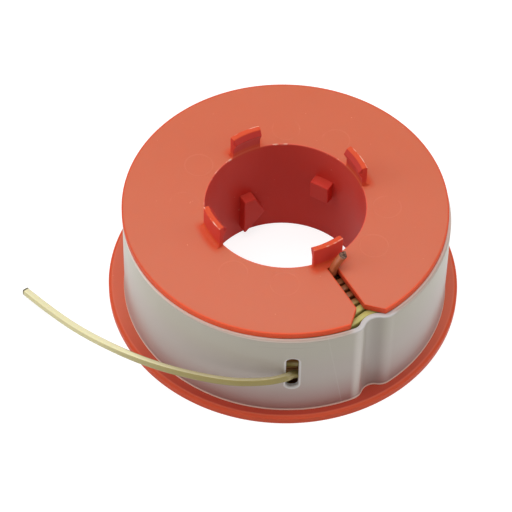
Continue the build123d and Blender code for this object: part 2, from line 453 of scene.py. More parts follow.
def raise_tabs():
    """Pulls the four barbed tabs up out of the top face, along the bore's edge."""
    flange = SPOOL_HEIGHT * MM

    def on_tab(point):
        return min(azimuth_gap(point, azimuth) for azimuth in TAB_AZIMUTHS) < TAB_HALF_ARC

    def is_tab_top(face):
        middle = face.calc_center_median()
        at_bore = radius_of(middle) < TAB_BACK_RADIUS and middle.z > flange - TOUCH
        return face.normal.z > FACES_ALONG and at_bore and on_tab(middle)

    def is_tab_root(edge):
        flat = all(abs(vert.co.z - flange) < TOUCH for vert in edge.verts)
        at_back = all(abs(radius_of(vert.co) - TAB_BACK_RADIUS) < TAB_BACK_SLACK
                      for vert in edge.verts)
        return flat and at_back and edge.calc_face_angle_signed(0.0) < TAB_ROOT_FOLD

    height_before, inner_before = 0.0, BORE_RADIUS
    for height, inner in TAB_STAGES:
        pick("FACE", is_tab_top)
        pull(Vector((0, 0, height - height_before)) * MM)
        top = (SPOOL_HEIGHT + height) * MM
        limit = (inner_before + TAB_BACK_RADIUS) / 2
        pick("VERT", lambda vert: abs(vert.co.z - top) < TOUCH and radius_of(vert.co) < limit)
        scale = inner / inner_before
        bpy.ops.transform.resize(value=(scale, scale, 1.0), center_override=(0, 0, 0))
        height_before, inner_before = height, inner
    pick("EDGE", is_tab_root)
    bevel(TAB_ROOT_RADIUS, TAB_ROOT_STEPS)


def round_edges():
    """Rounds the sharp edges, all but the upper rim's lower one, which lies close over the band."""
    def is_low_rim(edge):
        return all(abs(vert.co.z - TOP_FLANGE_UNDERSIDE * MM) < TOUCH for vert in edge.verts)

    pick("EDGE", lambda edge: is_sharp_ridge(edge) and not is_low_rim(edge))
    bevel(EDGE_ROUND, EDGE_ROUND_STEPS, clamp=True)


def lug(outline, azimuth):
    """One driving lug: its outline seen along the radius, pulled out to its root in the wall."""
    piece = draw_wire("lug", [Vector((LUG_TIP, across, height)) * MM for across, height in outline])
    bpy.ops.mesh.edge_face_add()
    pull(Vector((LUG_ROOT - LUG_TIP, 0, 0)) * MM)
    face_outwards()
    pick("EDGE", lambda edge: min(vert.co.x for vert in edge.verts) < LUG_TIP * MM + TOUCH)
    bevel(LUG_ROUND, LUG_ROUND_STEPS)
    return turned_to(piece, azimuth)


def slot_cutter():
    """The flange slot with its flared mouth, as a block to cut away."""
    mouth_half = SLOT_HALF_WIDTH + SLOT_PAST_RIM - SLOT_MOUTH_RADIUS
    half_outline = [
        (SLOT_INNER_END, SLOT_HALF_WIDTH),
        (SLOT_MOUTH_RADIUS, SLOT_HALF_WIDTH),
        (SLOT_PAST_RIM, mouth_half),
    ]
    outline = half_outline + [(along, -across) for along, across in reversed(half_outline)]
    low = TOP_FLANGE_UNDERSIDE - SLOT_CUT_BELOW
    high = SPOOL_HEIGHT + 2 * TAB_ROOT_RADIUS
    points = [Vector((along, across, low)) * MM for along, across in outline]
    cutter = draw_wire("slot_cutter", points)
    bpy.ops.mesh.edge_face_add()
    pull(Vector((0, 0, high - low)) * MM)
    face_outwards()
    return turned_to(cutter, SLOT_AZIMUTH)


def ejector_cutter(azimuth):
    """A shallow dish with a sloping rim, to press one ejector mark into the top face."""
    nothing_selected()
    bpy.ops.mesh.primitive_cone_add(
        vertices=EJECTOR_FACETS,
        radius1=EJECTOR_RADIUS * MM,
        radius2=(EJECTOR_RADIUS + 2 * EJECTOR_SLOPE) * MM,
        depth=2 * EJECTOR_DEPTH * MM,
        location=polar(EJECTOR_PLACE, azimuth, SPOOL_HEIGHT) * MM,
    )
    bpy.ops.object.transform_apply(location=True, rotation=True, scale=True)
    return bpy.context.object


def spool_moulding():
    """The moulding: body, tabs and rounded edges, then lugs, slot and ejector marks."""
    body = spool_body()
    raise_tabs()
    round_edges()
    bpy.ops.object.mode_set(mode="OBJECT")
    lugs = [lug(UPPER_LUG, azimuth) for azimuth in UPPER_LUG_AZIMUTHS]
    lugs += [lug(LOWER_LUG, azimuth) for azimuth in LOWER_LUG_AZIMUTHS]
    combine(body, joined(lugs), "UNION")
    combine(body, slot_cutter(), "DIFFERENCE")
    marks = [ejector_cutter(azimuth + side) for azimuth in TAB_AZIMUTHS for side in EJECTOR_SIDES]
    combine(body, joined(marks), "DIFFERENCE")
    edit(body)
    bpy.ops.mesh.select_all(action="SELECT")
    bpy.ops.mesh.dissolve_degenerate(threshold=WELD)
    bpy.ops.object.mode_set(mode="OBJECT")
    even_shading(body)
    return body


# Retaining band

def band_outline():
    """The band's outer outline, point by point: a circle with one dent pressed in."""
    valley = BAND_RADIUS - DENT_DEPTH + DENT_VALLEY_RADIUS
    shoulder = BAND_RADIUS - DENT_SHOULDER_RADIUS
    reach = DENT_SHOULDER_RADIUS + DENT_VALLEY_RADIUS
    turn = math.acos((shoulder ** 2 + valley ** 2 - reach ** 2) / (2 * shoulder * valley))
    lean = math.asin(shoulder * math.sin(turn) / reach)
    points = []
    for step in range(BAND_STEPS):
        angle = turn + (math.tau - 2 * turn) * step / BAND_STEPS
        points.append(heading(angle) * BAND_RADIUS)
    for side in (-1, 1):
        centre = Vector((shoulder * math.cos(turn), side * shoulder * math.sin(turn), 0))
        for step in range(DENT_SHOULDER_STEPS):
            into_dent = step / DENT_SHOULDER_STEPS
            share = into_dent if side < 0 else 1 - into_dent
            angle = side * (turn - (turn + lean) * share)
            points.append(centre + heading(angle) * DENT_SHOULDER_RADIUS)
        if side < 0:
            for step in range(DENT_VALLEY_STEPS):
                angle = lean * (1 - 2 * step / DENT_VALLEY_STEPS)
                points.append(Vector((valley, 0, 0)) - heading(angle) * DENT_VALLEY_RADIUS)
    turned = Matrix.Rotation(math.radians(DENT_AZIMUTH), 3, "Z")
    return [BAND_AXIS + turned @ point for point in points]


def band_slot_cutter():
    """The upright slot, as a block that widens in a quarter round at the band's outer face."""
    half_width, half_height = BAND_SLOT_WIDTH / 2, BAND_SLOT_HEIGHT / 2
    middle = BAND_SLOT_BOTTOM + half_height
    start = BAND_RADIUS - 3 * BAND_WALL
    corners = ((-1, -1), (1, -1), (1, 1), (-1, 1))
    points = [Vector((start, across * half_width, middle + up * half_height)) * MM
              for across, up in corners]
    cutter = draw_wire("band_slot_cutter", points)
    bpy.ops.mesh.edge_face_add()
    bevel(BAND_SLOT_CORNER, BAND_SLOT_CORNER_STEPS, affect="VERTICES")
    here, flare_before = start, 0.0
    for step in range(BAND_SLOT_ROUND_STEPS + 1):
        angle = math.pi / 2 * step / BAND_SLOT_ROUND_STEPS
        there = BAND_RADIUS - BAND_SLOT_ROUND * (1 - math.sin(angle))
        flare = BAND_SLOT_ROUND * (1 - math.cos(angle))
        pull(Vector((there - here, 0, 0)) * MM)
        wider = (half_width + flare) / (half_width + flare_before)
        taller = (half_height + flare) / (half_height + flare_before)
        bpy.ops.transform.resize(value=(1, wider, taller),
                                 center_override=Vector((there, 0, middle)) * MM)
        here, flare_before = there, flare
    pull(Vector((2 * BAND_WALL, 0, 0)) * MM)
    face_outwards()
    turned_to(cutter, BAND_SLOT_AZIMUTH)
    cutter.data.transform(Matrix.Translation(BAND_AXIS * MM))
    return cutter


def band_sleeve():
    """The sleeve: its outline pulled up and given a wall, a bead, a round rim and the slot."""
    outline = band_outline()
    nothing_selected()
    bpy.ops.mesh.primitive_circle_add(vertices=len(outline), radius=BAND_RADIUS * MM)
    band = bpy.context.object
    band.name = band.data.name = "band_sleeve"
    for vert, point in zip(band.data.vertices, outline):
        vert.co = (point + Vector((0, 0, BAND_FOOT))) * MM
    edit(band)
    bpy.ops.mesh.select_all(action="SELECT")
    for low, high in ((BAND_FOOT, BAND_BEAD_TOP), (BAND_BEAD_TOP, BAND_TOP)):
        pull(Vector((0, 0, high - low)) * MM)
    face_outwards()
    bpy.ops.object.mode_set(mode="OBJECT")
    work_with(band, "SOLIDIFY", thickness=BAND_WALL * MM, offset=-1.0, use_even_offset=True)
    edit(band)
    middle = BAND_AXIS * MM

    def faces_out(face):
        outward = face.normal.dot(face.calc_center_median() - middle) > 0
        return outward and abs(face.normal.z) < FACES_ALONG

    def is_bead(face):
        return faces_out(face) and face.calc_center_median().z < BAND_BEAD_TOP * MM

    def is_top_rim(edge):
        at_top = edge.verts[0].co.z > (BAND_TOP - BAND_RIM_REACH) * MM
        return at_top and any(faces_out(face) for face in edge.link_faces)

    def is_over_foot(edge):
        return edge.verts[0].co.z > (BAND_FOOT + BAND_RIM_REACH) * MM

    pick("FACE", is_bead)
    bpy.ops.mesh.extrude_region_shrink_fatten(
        TRANSFORM_OT_shrink_fatten={"value": BAND_BEAD_PROUD * MM})
    pick("EDGE", lambda edge: is_sharp_ridge(edge) and is_top_rim(edge))
    bevel(BAND_ROUND, BAND_ROUND_STEPS)
    pick("EDGE", lambda edge: is_sharp_ridge(edge) and is_over_foot(edge))
    bevel(BAND_BEAD_ROUND, BAND_BEAD_STEPS)
    bpy.ops.object.mode_set(mode="OBJECT")
    combine(band, band_slot_cutter(), "DIFFERENCE")
    even_shading(band)
    return band


# Line

def room_at(azimuth):
    """How far out the winding may reach at an azimuth: to the band, less where the dent presses."""
    outward = polar(1.0, azimuth)
    along = BAND_AXIS.dot(outward)
    aside = BAND_AXIS.cross(outward).length
    reach = BAND_RADIUS - BAND_WALL - WINDING_BAND_GAP
    gap = (azimuth - DENT_AZIMUTH + 180) % 360 - 180
    dent = DENT_PRESS * math.exp(-(gap / DENT_PRESS_ARC) ** 2)
    return along + math.sqrt(reach ** 2 - aside ** 2) - dent


def winding_points():
    """Control points of the turns, layer on layer down and up the hub, then on to the tail."""
    pitch = (WINDING_TOP - LOWER_FLANGE_THICKNESS) / TURNS_PER_LAYER
    highest = WINDING_TOP - pitch / 2
    last_turn = TURNS_PER_LAYER - 1.0
    last_outer_turn = OUTER_LAYER_TURNS - 1
    tail_start = Vector(TAIL_ROUTE[0])
    tail_azimuth = math.degrees(math.atan2(tail_start.y, tail_start.x))
    lead = FIRST_TURN_AZIMUTH - tail_azimuth
    turns = FULL_LAYERS * TURNS_PER_LAYER + OUTER_LAYER_TURNS + 1 + lead / 360.0
    # The spline cuts inside its control points, so these stand further out by as much
    step = math.radians(360.0 / POINTS_PER_TURN)
    inside_corner = SPLINE_OWN_SHARE + (1 - SPLINE_OWN_SHARE) * math.cos(step)
    loose = random.Random(SWAY_SEED)
    sways = [(loose.uniform(-1, 1), loose.uniform(-1, 1)) for _ in range(int(turns) + 3)]

    def height_at(layer, in_layer):
        down = min(in_layer, last_turn)
        if layer < FULL_LAYERS:
            return highest - (last_turn - down if layer % 2 else down) * pitch
        if in_layer <= last_outer_turn:
            return highest - down * pitch * OUTER_LAYER_PITCH
        left = turns - layer * TURNS_PER_LAYER - last_outer_turn
        from_height = highest - last_outer_turn * pitch * OUTER_LAYER_PITCH
        share = eased((in_layer - last_outer_turn) / left, 0.0, 1.0)
        return from_height + (tail_start.z - from_height) * share

    points = []
    for index in range(1, int(turns * POINTS_PER_TURN)):
        turn = index / POINTS_PER_TURN
        azimuth = FIRST_TURN_AZIMUTH - turn * 360.0
        layer = min(int(turn / TURNS_PER_LAYER), FULL_LAYERS)
        in_layer = turn - layer * TURNS_PER_LAYER
        climb = max(0.0, in_layer - last_turn) if layer < FULL_LAYERS else 0.0
        level = (layer + climb + 0.5) / LAYERS_OF_ROOM
        whole = int(turn)
        blend = turn - whole
        out, up = [a + (b - a) * blend for a, b in zip(sways[whole], sways[whole + 1])]
        radius = HUB_RADIUS + level * (room_at(azimuth) - HUB_RADIUS) + SWAY_OUT * out
        height = height_at(layer, in_layer) + SWAY_UP * up
        points.append(polar(radius / inside_corner, azimuth, height))
    return points


def smooth_spline(points):
    """Points read from a smooth spline that has the given points as its control points."""
    curve = bpy.data.curves.new("line_path", "CURVE")
    curve.dimensions = "3D"
    curve.resolution_u = SPLINE_STEPS
    spline = curve.splines.new("NURBS")
    spline.points.add(len(points) - 1)
    for control, point in zip(spline.points, points):
        control.co = (*(point * MM), 1.0)
    spline.order_u = SPLINE_ORDER
    spline.use_endpoint_u = True
    holder = bpy.data.objects.new("line_path", curve)
    bpy.context.scene.collection.objects.link(holder)
    bpy.context.view_layer.update()
    drawn = holder.evaluated_get(bpy.context.evaluated_depsgraph_get())
    mesh = bpy.data.meshes.new_from_object(drawn)
    path = [vert.co.copy() for vert in mesh.vertices]
    bpy.data.objects.remove(holder)
    bpy.data.meshes.remove(mesh)
    return path


def line_course():
    """The line's centre, from its anchored end to its free end: close points at the ends alone."""
    inner_end = [Vector(point) for point in INNER_END_ROUTE]
    tail = [Vector(point) for point in TAIL_ROUTE]
    control = inner_end + winding_points() + tail
    dense = smooth_spline(control)
    inner_to = len(dense) * (len(inner_end) + INNER_END_LEAD) // len(control)
    tail_from = len(dense) * (len(control) - len(tail) - TAIL_LEAD) // len(control)
    return [point for index, point in enumerate(dense)
            if index % SPLINE_STEPS == 0 or index > tail_from or index < inner_to]


def rounded_square():
    """The line's section, as (outwards, up) offsets, three points to a corner."""
    centre = LINE_FLAT / 2 - LINE_CORNER
    ring = []
    for quarter in range(4):
        corner = math.radians(quarter * 90 + 45)
        for bend in (0, 45, 90):
            angle = math.radians(quarter * 90 + bend)
            across = centre * math.copysign(1, math.cos(corner)) + LINE_CORNER * math.cos(angle)
            up = centre * math.copysign(1, math.sin(corner)) + LINE_CORNER * math.sin(angle)
            ring.append((across * MM, up * MM))
    return ring


def tail_roll(point):
    """How far the tail is turned about its own length where it leaves the band."""
    radius = radius_of(point)
    share = eased(radius, *TAIL_ROLL_RISE) * eased(radius, *TAIL_ROLL_FALL)
    return math.radians(TAIL_ROLL) * share


def line_mesh(path):
    """A tube of the line's section along a path, its flats kept to the hub, one end slanted."""
    section = rounded_square()
    sides = len(section)
    verts, faces = [], []
    for index, point in enumerate(path):
        ahead = path[min(index + 1, len(path) - 1)]
        behind = path[max(index - 1, 0)]
        along = (ahead - behind).normalized()
        outward = Vector((point.x, point.y, 0.0)).normalized()
        outward = (outward - along * outward.dot(along)).normalized()
        outward = Matrix.Rotation(tail_roll(point), 3, along) @ outward
        up = outward.cross(along)
        for across, rise in section:
            aside = outward * across + up * rise
            slant = 0.0
            if index == 0:
                slant = aside.dot(STUB_CUT_FACES) / along.dot(STUB_CUT_FACES)
            verts.append(point + aside - along * slant)
    for low in range(0, len(verts) - sides, sides):
        high = low + sides
        for side in range(sides):
            after = (side + 1) % sides
            faces.append((low + side, low + after, high + after, high + side))
    faces.append(tuple(reversed(range(sides))))
    faces.append(tuple(range(len(verts) - sides, len(verts))))
    mesh = bpy.data.meshes.new("trimmer_line")
    mesh.from_pydata(verts, [], faces)
    return mesh


def trimmer_line():
    """One length of line, with its centre and its length in metres."""
    path = line_course()
    mesh = line_mesh(path)
    line = bpy.data.objects.new("trimmer_line", mesh)
    bpy.context.scene.collection.objects.link(line)
    edit(line)
    face_outwards()
    bpy.ops.object.mode_set(mode="OBJECT")
    even_shading(line, LINE_SHADE_ANGLE)
    for cap in mesh.polygons[-2:]:
        cap.material_index = 1
    upward = mesh.attributes.new("upward", "FLOAT", "FACE")
    upward.data.foreach_set("value", [face.normal.z for face in mesh.polygons])
    length = sum((after - before).length for before, after in zip(path, path[1:]))
    return line, path, length


# Small helpers for materials

Place = namedtuple("Place", "radius azimuth x y height")


def fill(tree, socket, value):
    """Puts a constant, or another node's output, into a socket."""
    if isinstance(value, bpy.types.NodeSocket):
        tree.links.new(value, socket)
    else:
        socket.default_value = value


def maths(tree, operation, *values):
    node = tree.nodes.new("ShaderNodeMath")
    node.operation = operation
    for socket, value in zip(node.inputs, values):
        fill(tree, socket, value)
    return node.outputs[0]


def product(tree, *values):
    result = values[0]
    for value in values[1:]:
        result = maths(tree, "MULTIPLY", result, value)
    return result


def weaker(tree, mask, share):
    return maths(tree, "MULTIPLY", mask, share)


def hypotenuse(tree, first, second):
    squares = maths(tree, "ADD", product(tree, first, first), product(tree, second, second))
    return maths(tree, "SQRT", squares)


def rising(tree, value, start, full):
    """A mask that rises smoothly from 0 where a value is at its start to 1 where it is full."""
    node = tree.nodes.new("ShaderNodeMapRange")
    node.interpolation_type = "SMOOTHSTEP"
    fill(tree, node.inputs["Value"], value)
    fill(tree, node.inputs["From Min"], start)
    fill(tree, node.inputs["From Max"], full)
    return node.outputs[0]


def near(tree, value, target, core, fade):
    """A mask that is 1 where a value is within core of a target, falling to 0 at fade."""
    off = maths(tree, "ABSOLUTE", maths(tree, "SUBTRACT", value, target))
    return rising(tree, off, start=fade, full=core)


def mixed(tree, share, first, second):
    """A colour between two others."""
    node = tree.nodes.new("ShaderNodeMix")
    node.data_type = "RGBA"
    colours = [socket for socket in node.inputs if socket.type == "RGBA"]
    fill(tree, node.inputs[0], share)
    fill(tree, colours[0], first)
    fill(tree, colours[1], second)
    return [socket for socket in node.outputs if socket.type == "RGBA"][0]


def painted(tree, colour, layers):
    """Lays tints over a colour, one after another, each where its mask is."""
    for mask, tint in layers:
        colour = mixed(tree, mask, colour, tint)
    return colour


def object_place(tree):
    return tree.nodes.new("ShaderNodeTexCoord").outputs["Object"]


def noise(tree, place, scale, detail=2.0):
    node = tree.nodes.new("ShaderNodeTexNoise")
    node.inputs["Scale"].default_value = scale
    node.inputs["Detail"].default_value = detail
    tree.links.new(place, node.inputs["Vector"])
    return node.outputs[0]


def coordinates(tree, centre=(0.0, 0.0)):
    """Where a point is: its radius and azimuth about an upright axis, and its x, y and height."""
    scaled = tree.nodes.new("ShaderNodeVectorMath")
    scaled.operation = "SCALE"
    scaled.inputs["Scale"].default_value = 1 / MM
    tree.links.new(object_place(tree), scaled.inputs[0])
    apart = tree.nodes.new("ShaderNodeSeparateXYZ")
    tree.links.new(scaled.outputs[0], apart.inputs[0])
    x = maths(tree, "SUBTRACT", apart.outputs["X"], centre[0])
    y = maths(tree, "SUBTRACT", apart.outputs["Y"], centre[1])
    azimuth = maths(tree, "ARCTAN2", y, x)
    return Place(hypotenuse(tree, x, y), azimuth, x, y, apart.outputs["Z"])


def along_heading(tree, at, cosine, sine):
    """How far a point lies along a level direction."""
    return maths(tree, "ADD", product(tree, at.x, cosine), product(tree, at.y, sine))


def finish_group():
    """The unevenness that moulded plastic has: slow clouds, rare specks and a fine grain."""
    group = bpy.data.node_groups.new("plastic_finish", "ShaderNodeTree")
    for name in ("Cloud", "Speck", "Grain"):
        group.interface.new_socket(name, in_out="OUTPUT", socket_type="NodeSocketFloat")
    place = object_place(group)
    leave = group.nodes.new("NodeGroupOutput")
    specks = rising(group, noise(group, place, scale=900.0), start=0.75, full=0.80)
    group.links.new(noise(group, place, scale=70.0), leave.inputs["Cloud"])
    group.links.new(specks, leave.inputs["Speck"])
    group.links.new(noise(group, place, scale=2600.0, detail=3.0), leave.inputs["Grain"])
    return group


def moulded_finish(tree):
    """The outputs of the shared finish, placed in a material."""
    node = tree.nodes.new("ShaderNodeGroup")
    node.node_tree = FINISH
    return node.outputs


def plastic(name, roughness, specular):
    """A new material, with its node tree and the inputs of its shader."""
    material = bpy.data.materials.new(name)
    material.use_nodes = True
    surface = material.node_tree.nodes["Principled BSDF"].inputs
    surface["Roughness"].default_value = roughness
    surface["Specular IOR Level"].default_value = specular
    return material, material.node_tree, surface


def let_light_in(surface, share, spread, depth):
    """Lets light some way into a plastic."""
    surface["Subsurface Weight"].default_value = share
    surface["Subsurface Radius"].default_value = spread
    surface["Subsurface Scale"].default_value = depth * MM


def roughen(tree, surface, height, depth):
    """Fine relief on a shader's normal, from a height between 0 and 1."""
    bump = tree.nodes.new("ShaderNodeBump")
    bump.inputs["Distance"].default_value = depth * MM
    tree.links.new(height, bump.inputs["Height"])
    tree.links.new(bump.outputs["Normal"], surface["Normal"])


# Materials

def slot_distance(tree, at):
    """How far a point lies from the flange slot's edge, across the slot."""
    cosine, sine = math.cos(math.radians(SLOT_AZIMUTH)), math.sin(math.radians(SLOT_AZIMUTH))
    along = along_heading(tree, at, cosine, sine)
    across = maths(tree, "ABSOLUTE", along_heading(tree, at, -sine, cosine))
    flare = maths(tree, "MAXIMUM", maths(tree, "SUBTRACT", along, SLOT_MOUTH_RADIUS), 0.0)
    half = maths(tree, "ADD", flare, SLOT_HALF_WIDTH)
    past_end = rising(tree, along, start=SLOT_INNER_END, full=SLOT_INNER_END - SLOT_END_FADE)
    far_off = product(tree, past_end, SLOT_FAR_OFF)
    return maths(tree, "ADD", maths(tree, "SUBTRACT", across, half), far_off)


def from_quarter(tree, azimuth, degrees):
    """An azimuth's angle from the nearest of four directions a quarter turn apart, in degrees."""
    turned = maths(tree, "SUBTRACT", maths(tree, "DEGREES", azimuth), degrees)
    return maths(tree, "WRAP", turned, 45.0, -45.0)


def ejector_witness(tree, at):
    """The thin ring round each ejector mark."""
    rings = []
    for side in EJECTOR_SIDES:
        swing = maths(tree, "RADIANS", from_quarter(tree, at.azimuth, TAB_AZIMUTHS[0] + side))
        outward = product(tree, at.radius, maths(tree, "COSINE", swing))
        along = maths(tree, "SUBTRACT", outward, EJECTOR_PLACE)
        across = product(tree, at.radius, maths(tree, "SINE", swing))
        away = hypotenuse(tree, along, across)
        rings.append(near(tree, away, EJECTOR_RADIUS + EJECTOR_SLOPE / 2, core=0.08, fade=0.24))
    return maths(tree, "MAXIMUM", *rings)


def spool_plastic():
    """Orange-red plastic, with painted light: a paler top face as painted sheen, painted glow on
    its edges, painted highlights on the bore's edge, the lower bevel and the tabs' edges, painted
    shade on the lower flange's front and on the barbs, and pale burrs along the bore.
    """
    material, tree, surface = plastic("spool_plastic", roughness=0.48, specular=0.12)
    finish = moulded_finish(tree)
    at = coordinates(tree)
    place = object_place(tree)

    # Painted sheen on the top face: paler than the body, shifting from front to back
    top_face = product(tree, near(tree, at.height, SPOOL_HEIGHT, core=0.12, fade=0.2),
                       rising(tree, at.radius, start=BORE_RADIUS + 0.1, full=BORE_RADIUS + 0.4))
    uneven = rising(tree, noise(tree, place, scale=160.0), start=0.38, full=0.62)
    witness = product(tree, ejector_witness(tree, at), uneven)
    top_sheen = mixed(tree, rising(tree, at.y, start=-40.0, full=40.0), TOP_SHEEN_FRONT, TOP_SHEEN_BACK)
    top_sheen = painted(tree, top_sheen, (
        (weaker(tree, finish["Cloud"], share=0.3), TOP_CLOUD),
        (weaker(tree, witness, share=0.12), EJECTOR_PALE),
    ))

    # Painted shade at the lower flange's front and painted sheen toward its back
    low_face = product(tree, near(tree, at.height, LOWER_FLANGE_THICKNESS, core=0.05, fade=0.1),
                       rising(tree, at.radius, start=44.0, full=45.0))
    low_shade_and_sheen = mixed(tree, rising(tree, at.y, start=-46.0, full=-8.0),
                     LOW_FLANGE_FRONT_SHADE, LOW_FLANGE_BACK_SHEEN)
    lower = rising(tree, at.height, start=3.0, full=2.6)
    low_rim = product(tree, lower, rising(tree, at.radius, start=48.3, full=48.6))
    # Painted highlight along the lower flange's bevel edge
    bevel_edge = LOWER_FLANGE_RADIUS - RIM_BEVEL_WIDTH
    low_ring = product(tree, lower, near(tree, at.radius, bevel_edge, core=0.1, fade=0.35))

    upper = rising(tree, at.height, start=31.0, full=32.0)
    # Painted glow on the upper flange's rim
    rim = product(tree, upper, rising(tree, at.radius, start=44.3, full=44.9))
    rim_glow = mixed(tree, rising(tree, at.y, start=-42.0, full=-15.0), RIM_FRONT_GLOW, RIM_BACK_GLOW)
    # Painted glow along the slot's edges
    slot_edge = product(tree, upper, rising(tree, slot_distance(tree, at), start=0.45, full=0.1))

    # Painted light at the tabs' roots, where shade would fall, and painted glow on the tabs' tops
    beside_tab = maths(tree, "ABSOLUTE", from_quarter(tree, at.azimuth, TAB_AZIMUTHS[0]))
    tab_root = product(tree, near(tree, at.height, SPOOL_HEIGHT + 0.4, core=0.7, fade=1.5),
                       rising(tree, at.radius, start=26.6, full=24.4),
                       rising(tree, beside_tab, start=16.0, full=9.0))
    tab_edge = rising(tree, at.height, start=TAB_TOP - 0.3, full=TAB_TOP - 0.1)
    # Painted highlight in pale flecks along the tabs' back top edges
    tab_back = near(tree, at.radius, TAB_BACK_RADIUS - 0.1, core=0.1, fade=0.22)
    edge_flecks = rising(tree, noise(tree, place, scale=300.0), start=0.42, full=0.58)
    # Painted shade on the barbs' sloping faces
    barb = product(tree, rising(tree, at.height, start=BARB_HEIGHT - 0.6, full=BARB_HEIGHT),
                   rising(tree, at.radius, start=BORE_RADIUS + 0.1, full=BORE_RADIUS - 0.1))

    # Painted highlight along the bore's top edge; pale burrs lie on it
    bore_edge = product(tree, near(tree, at.radius, BORE_RADIUS + 0.1, core=0.12, fade=0.3),
                        near(tree, at.height, SPOOL_HEIGHT, core=0.3, fade=0.5))
    burrs = rising(tree, noise(tree, place, scale=420.0), start=0.60, full=0.72)

    colour = painted(tree, mixed(tree, finish["Cloud"], BODY_RED, BODY_CLOUD), (
        (top_face, top_sheen),
        (low_face, low_shade_and_sheen),
        (low_rim, LOW_RIM_RED),
        (barb, BARB_SHADE_RED),
        (rim, rim_glow),
        (slot_edge, GLOWING_EDGE),
        (tab_root, GLOWING_EDGE),
        (tab_edge, GLOWING_EDGE),
        (weaker(tree, bore_edge, share=0.4), BORE_EDGE_HIGHLIGHT),
        (product(tree, bore_edge, burrs), BURR_PALE),
        (product(tree, tab_back, tab_edge, edge_flecks), TAB_EDGE_FLECK_HIGHLIGHT),
        (weaker(tree, low_ring, share=0.4), LOW_RING_HIGHLIGHT),
        (finish["Speck"], SPECK_PALE),
    ))
    fill(tree, surface["Base Color"], colour)
    let_light_in(surface, share=0.35, spread=(1.0, 0.3, 0.15), depth=1.5)
    roughen(tree, surface, finish["Grain"], depth=0.008)
    return material


def band_plastic():
    """Milky plastic, with painted light: painted highlights on its edges, its slot's rim, its foot,
    its ledge and the dent's shoulders, painted shade in the dent's valley, above the foot and at
    the low front, painted red bounce toward the foot, and a painted shadow line of the winding.
    """
    material, tree, surface = plastic("band_plastic", roughness=0.34, specular=0.38)
    finish = moulded_finish(tree)
    at = coordinates(tree, BAND_AXIS.to_2d())

    def arc_from(degrees):
        turned = maths(tree, "SUBTRACT", at.azimuth, math.radians(degrees))
        return product(tree, turned, BAND_RADIUS)

    def past(value, half):
        over = maths(tree, "SUBTRACT", maths(tree, "ABSOLUTE", value), half)
        return maths(tree, "MAXIMUM", over, 0.0)

    from_dent = arc_from(DENT_AZIMUTH)
    dent = maths(tree, "ABSOLUTE", from_dent)
    # Painted shade in the dent's valley
    valley = rising(tree, dent, start=4.2, full=1.8)
    # Painted highlights on the dent's two shoulders
    left_shoulder_highlight = near(tree, from_dent, LEFT_SHOULDER_ARC, core=0.3, fade=2.1)
    right_shoulder_highlight = near(tree, from_dent, RIGHT_SHOULDER_ARC, core=0.2, fade=1.9)

    across = arc_from(BAND_SLOT_AZIMUTH)
    level = maths(tree, "SUBTRACT", at.height, BAND_SLOT_BOTTOM + BAND_SLOT_HEIGHT / 2)
    from_slot = hypotenuse(tree, past(across, BAND_SLOT_WIDTH / 2 - BAND_SLOT_CORNER),
                           past(level, BAND_SLOT_HEIGHT / 2 - BAND_SLOT_CORNER))
    # Painted highlight round the slot's rim
    slot_rim = rising(tree, from_slot, start=BAND_SLOT_CORNER + 0.75, full=BAND_SLOT_CORNER + 0.45)

    # Painted highlight on the foot bead
    foot = rising(tree, at.height, start=BAND_BEAD_TOP + 0.05, full=BAND_BEAD_TOP - 0.15)
    over_foot = near(tree, at.height, BAND_BEAD_TOP + 0.35, core=0.15, fade=0.35)
    # Painted light on the top ledge, palest beside the flange's rim
    top_strip = rising(tree, at.height, start=BAND_TOP - 0.5, full=BAND_TOP - 0.2)
    beside_rim = rising(tree, coordinates(tree).radius,
                        start=TOP_FLANGE_RADIUS + 0.75, full=TOP_FLANGE_RADIUS + 0.35)
    ledge = mixed(tree, beside_rim, LEDGE_LIGHT_OUTER, LEDGE_LIGHT_INNER)
    ledge = mixed(tree, rising(tree, dent, start=8.5, full=5.5), ledge, LEDGE_LIGHT_DENT)

    slanting = maths(tree, "SUBTRACT", across, product(tree, level, SCRATCH_LEAN))
    scratch = near(tree, slanting, SCRATCH_ARC, core=0.05, fade=0.22)
    # Painted shadow line of the winding's top turn
    winding_shadow = product(tree, near(tree, at.height, WINDING_SHADOW_HEIGHT, core=0.05, fade=0.2),
                   near(tree, across, WINDING_SHADOW_ARC, core=4.0, fade=11.0))

    # Painted red bounce light toward the foot and painted shade at the low front
    low = mixed(tree, rising(tree, at.y, start=-26.0, full=-42.0), BAND_LOW_SIDES_RED_BOUNCE, BAND_LOW_FRONT_SHADE)
    colour = painted(tree, low, (
        (rising(tree, at.height, start=2.0, full=18.0), BAND_MIDDLE),
        (rising(tree, at.height, start=17.0, full=29.0), BAND_UPPER),
        (weaker(tree, valley, share=0.45), DENT_VALLEY_SHADE),
        (weaker(tree, left_shoulder_highlight, share=0.62), DENT_SHOULDER_HIGHLIGHT),
        (weaker(tree, right_shoulder_highlight, share=0.12), DENT_SHOULDER_HIGHLIGHT),
        (weaker(tree, over_foot, share=0.35), OVER_FOOT_SHADE),
        (slot_rim, BAND_SLOT_HIGHLIGHT),
        (top_strip, ledge),
        (foot, FOOT_HIGHLIGHT),
        (weaker(tree, scratch, share=0.14), SCRATCH_PALE),
        (weaker(tree, winding_shadow, share=0.35), WINDING_SHADOW_GREY),
        (weaker(tree, finish["Speck"], share=0.3), BAND_SPECK),
    ))
    fill(tree, surface["Base Color"], colour)
    let_light_in(surface, share=0.2, spread=(1.0, 0.9, 0.8), depth=0.6)
    roughen(tree, surface, finish["Cloud"], depth=0.02)
    return material


